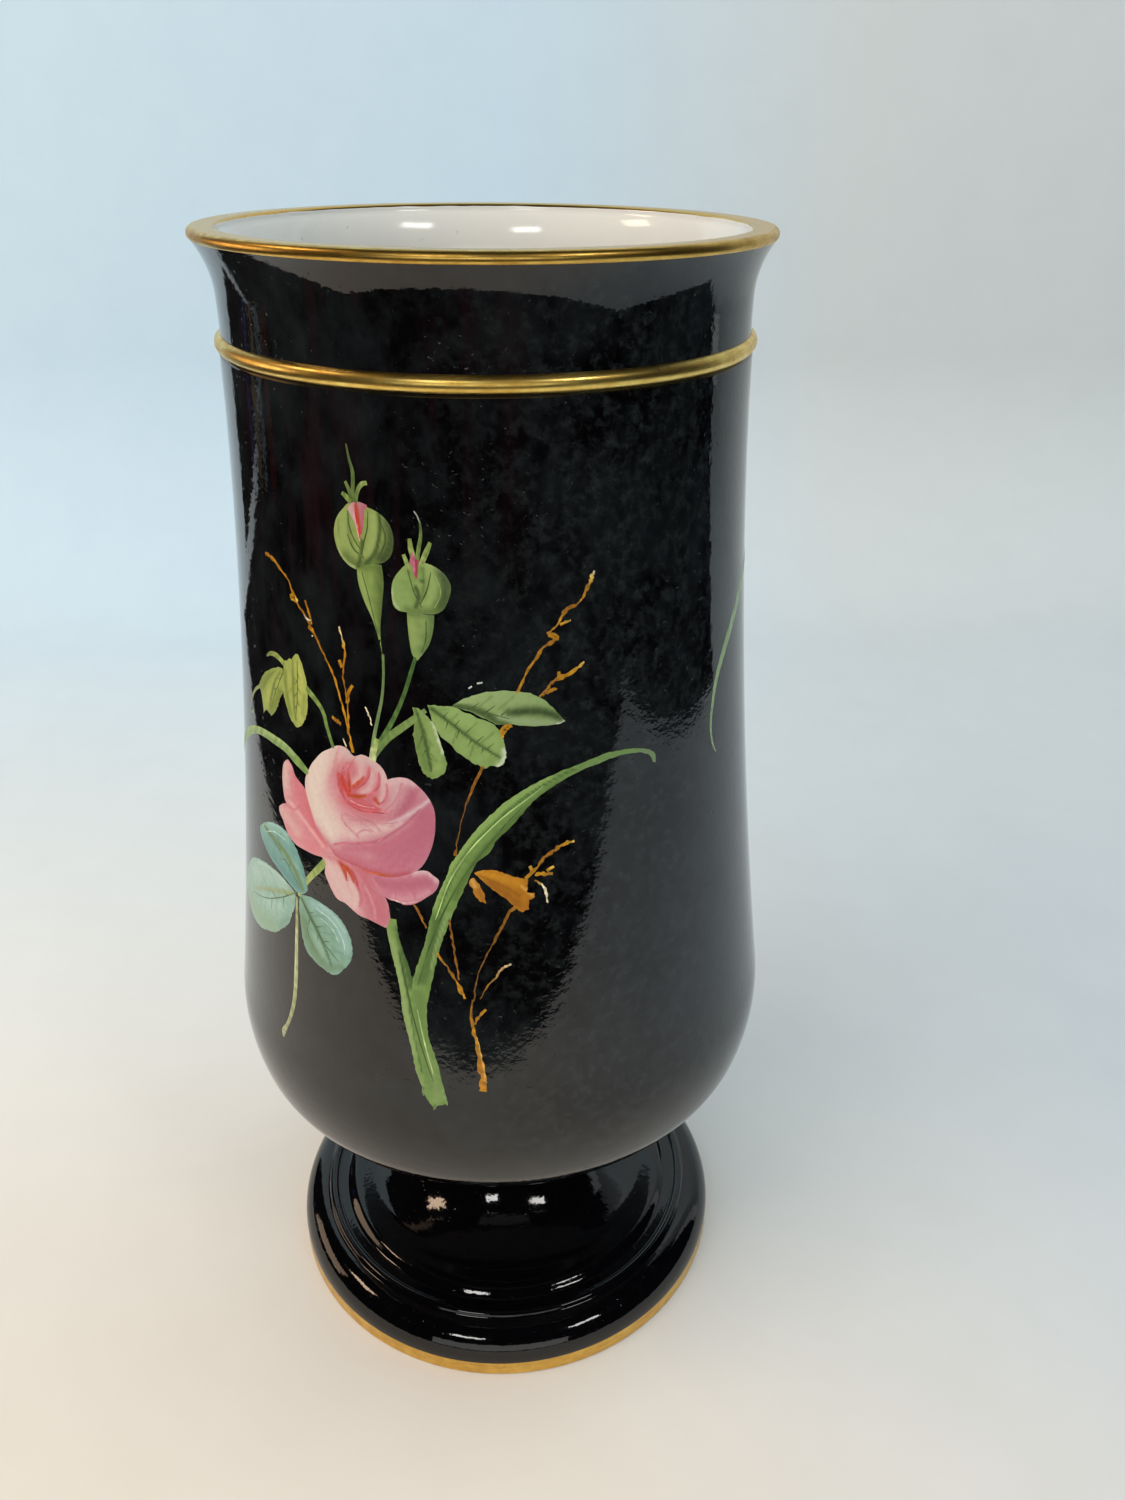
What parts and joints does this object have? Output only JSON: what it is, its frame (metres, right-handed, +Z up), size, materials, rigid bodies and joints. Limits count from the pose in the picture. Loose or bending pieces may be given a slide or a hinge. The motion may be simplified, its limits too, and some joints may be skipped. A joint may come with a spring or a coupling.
{
  "type": "flower vase",
  "caption": "Footed porcelain flower vase: black-ground bowl with a flared gilt lip, a moulded gilt ring and a short neck bolted to a hollow spreading foot.",
  "frame": {"origin": "centre of the foot's resting ring, on the table plane", "axes": "+Z up along the vase's axis, -Y towards the painted side"},
  "size_m": [0.1464, 0.1464, 0.295],
  "materials": {
    "white_porcelain": "gloss white glaze",
    "black_ground": "gloss black fired ground",
    "burnished_gold": "burnished gilding fired on porcelain",
    "satin_gold": "satin gilding fired on porcelain",
    "brass": "dull brass",
    "rubber": "matte",
    "leather": "matte"
  },
  "bodies": {
    "root": {"vase_bowl": "white_porcelain", "bowl_black_ground": "black_ground", "lip_gilding": "burnished_gold", "ring_gilding": "burnished_gold", "vase_foot": "white_porcelain", "foot_black_ground": "black_ground", "foot_edge_gilding": "satin_gold", "joint_bolt": "brass", "bowl_seal_washer": "rubber", "bowl_brass_washer": "brass", "neck_cushion": "leather", "foot_cushion_washer": "leather", "foot_brass_washer": "brass", "joint_nut": "brass"}
  },
  "joints": []
}
